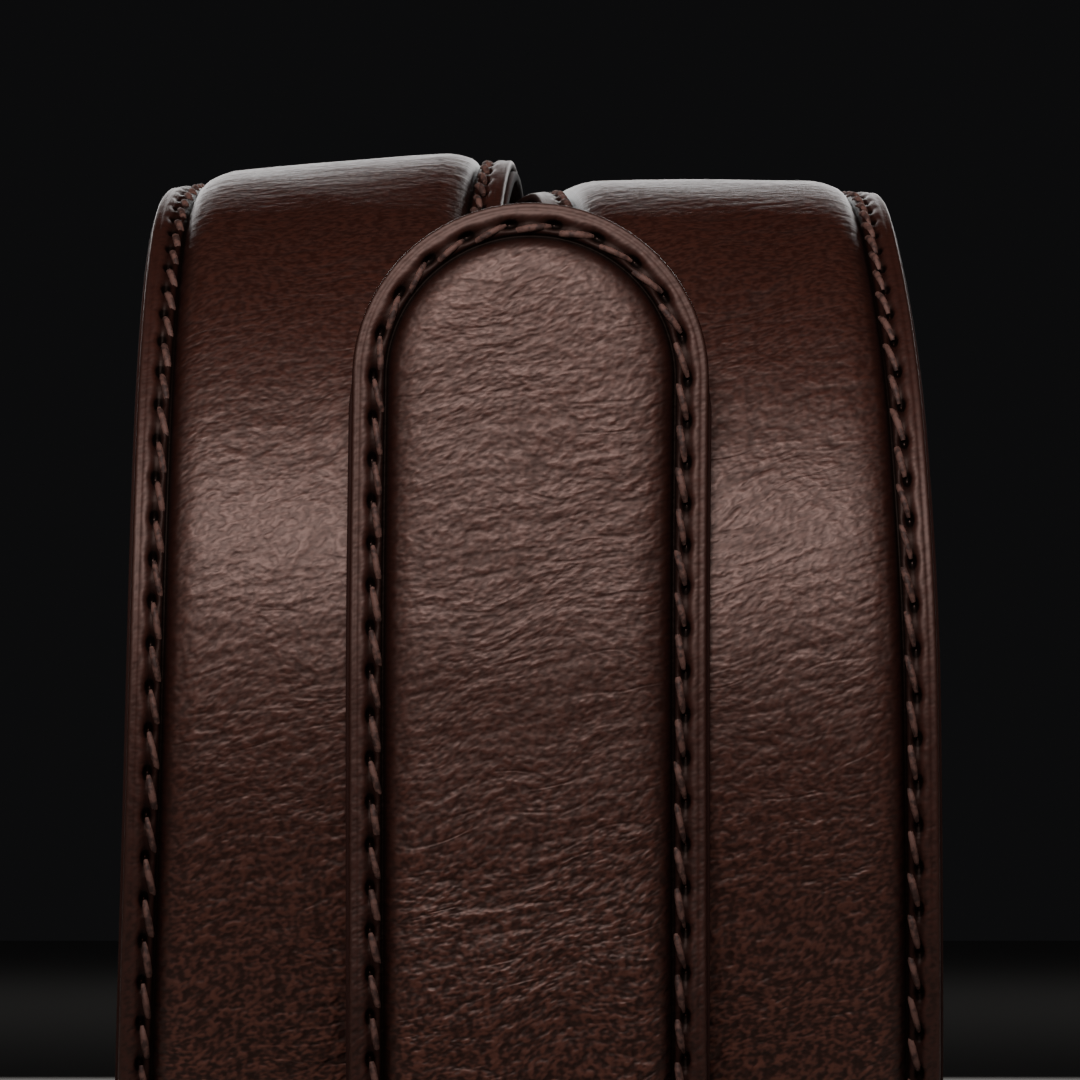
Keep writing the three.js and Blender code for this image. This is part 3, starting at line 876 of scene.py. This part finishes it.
def makeLiningLeather():
    material, tree, shader = newMaterial("liningLeather")
    strapAt = strapCoordinates(tree)
    fibre = tree.noise(tree.vectorMaths("MULTIPLY", strapAt, (20.0, 26.0, 1.0)), 1.0, 3.0)
    onTop = tree.ramp(tree.attribute("inset"), -0.1, 0.3)
    shade = tree.mixColour(tree.maths("MULTIPLY", fibre, 0.4), leather["lining"], leather["base"])
    tree.set(shader, "Base Color", tree.mixColour(onTop, leather["edge"], shade))
    tree.set(shader, "Roughness", 0.8)
    tree.set(shader, "Specular IOR Level", 0.25)
    tree.set(shader, "Normal", bumped(tree, tree.maths("MULTIPLY", fibre, 0.00005)))
    return material


def makeThread():
    material, tree, shader = newMaterial("thread")
    at = tree.add("ShaderNodeTexCoord").outputs["Object"]
    fibre = tree.noise(at, 2600.0, 2.0)
    soiled = tree.ramp(tree.noise(at, 1300.0, 2.0), 0.4, 0.65)
    shade = tree.mixColour(soiled, leather["thread"], leather["threadDark"])
    tree.set(shader, "Base Color", shade)
    tree.set(shader, "Roughness", 0.72)
    tree.set(shader, "Normal", bumped(tree, tree.maths("MULTIPLY", fibre, 0.00006)))
    return material


def makePlastic():
    material, tree, shader = newMaterial("trackPlastic")
    at = tree.add("ShaderNodeTexCoord").outputs["Object"]
    tree.set(shader, "Base Color", colour(30, 27, 26))
    tree.set(shader, "Roughness", tree.ramp(tree.noise(at, 900.0), 0.3, 0.7, 0.38, 0.5))
    return material


def makeNickel():
    material, tree, shader = newMaterial("buckleMetal")
    at = tree.add("ShaderNodeTexCoord").outputs["Object"]
    brushed = tree.noise(tree.vectorMaths("MULTIPLY", at, (60.0, 4000.0, 4000.0)), 1.0, 2.0)
    tree.set(shader, "Base Color", colour(150, 146, 141))
    tree.set(shader, "Metallic", 1.0)
    tree.set(shader, "Roughness", tree.ramp(brushed, 0.3, 0.7, 0.24, 0.38))
    tree.set(shader, "Normal", bumped(tree, tree.maths("MULTIPLY", brushed, 0.000004)))
    return material


def dress(piece, material):
    piece.data.materials.clear()
    piece.data.materials.append(material)


faceMaterial = makeFaceLeather()
liningMaterial = makeLiningLeather()
threadMaterial = makeThread()
dress(facePiece, faceMaterial)
dress(liningPiece, liningMaterial)
dress(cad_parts["ratchet_track"], makePlastic())
dress(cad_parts["buckle"], makeNickel())
stitchTree = makeStitchTree()
seamTop = strap["under"] + strap["marginThickness"] - stitch["threadHeight"]
seamBack = stitch["threadHeight"]
outward = stitch["outward"]
faceStitches = makeStitches("faceStitches", stitchTree, seamTop, outward, threadMaterial, faceThread)
backStitches = makeStitches("backStitches", stitchTree, seamBack, -outward, threadMaterial, backThread)
print("materials and stitches done")

for piece in (facePiece, liningPiece, faceStitches, backStitches):
    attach(piece, "root")
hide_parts("strap_cover")
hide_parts("strap_lining")


def makeFloor():
    side, front, back = 8.0, -2.0, 6.6
    mesh = bpy.data.meshes.new("floor")
    corners = [(-side, front, 0), (side, front, 0), (side, back, 0), (-side, back, 0)]
    mesh.from_pydata(corners, [], [(0, 1, 2, 3)])
    floor = bpy.data.objects.new("floor", mesh)
    bpy.context.scene.collection.objects.link(floor)
    material, tree, shader = newMaterial("floor")
    tree.set(shader, "Base Color", (0.55, 0.53, 0.5, 1.0))
    tree.set(shader, "Roughness", 0.85)
    dress(floor, material)


def aim(thing, eye, target):
    direction = np.array(target, float) - np.array(eye, float)
    thing.location = eye
    yaw = math.atan2(-direction[0], direction[1])
    pitchUp = math.atan2(direction[2], math.hypot(direction[0], direction[1]))
    thing.rotation_euler = (math.pi / 2 + pitchUp, 0, yaw)


def addLight(name, eye, target, width, height, power, spread):
    data = bpy.data.lights.new(name, "AREA")
    data.shape = "RECTANGLE"
    data.size = width
    data.size_y = height
    data.energy = power
    data.spread = math.radians(spread)
    light = bpy.data.objects.new(name, data)
    bpy.context.scene.collection.objects.link(light)
    aim(light, eye, target)


lights = {  # eye, target, width, height, power and spread of the beam
    "keyLight": ((-0.05, -0.52, 0.46), (0, 0, 0.105), 0.3, 0.21, 0.265, 38),
    "backLight": ((0.0, 1.2, 0.43), (0, 0, 0.1), 1.1, 0.3, 10.0, 180),
    "floorLight": ((0.0, 2.6, 1.5), (0, 2.8, 0), 3.0, 1.5, 0.5, 120),
}
makeFloor()
for name, settings in lights.items():
    addLight(name, *settings)

world = bpy.data.worlds.new("studio")
world.use_nodes = True
world.node_tree.nodes["Background"].inputs["Color"].default_value = (0.006, 0.006, 0.0064, 1.0)
bpy.context.scene.world = world

view = {"x": 0.0012, "distance": 1.3, "height": 0.042, "pitch": 1.51, "lens": 421.6}
cameraData = bpy.data.cameras.new("camera")
cameraData.sensor_width = 36
cameraData.lens = view["lens"]
cameraData.clip_end = 50
camera = bpy.data.objects.new("camera", cameraData)
camera.location = (view["x"], -view["distance"], view["height"])
camera.rotation_euler = (math.radians(90 + view["pitch"]), 0, 0)
bpy.context.scene.collection.objects.link(camera)
bpy.context.scene.camera = camera
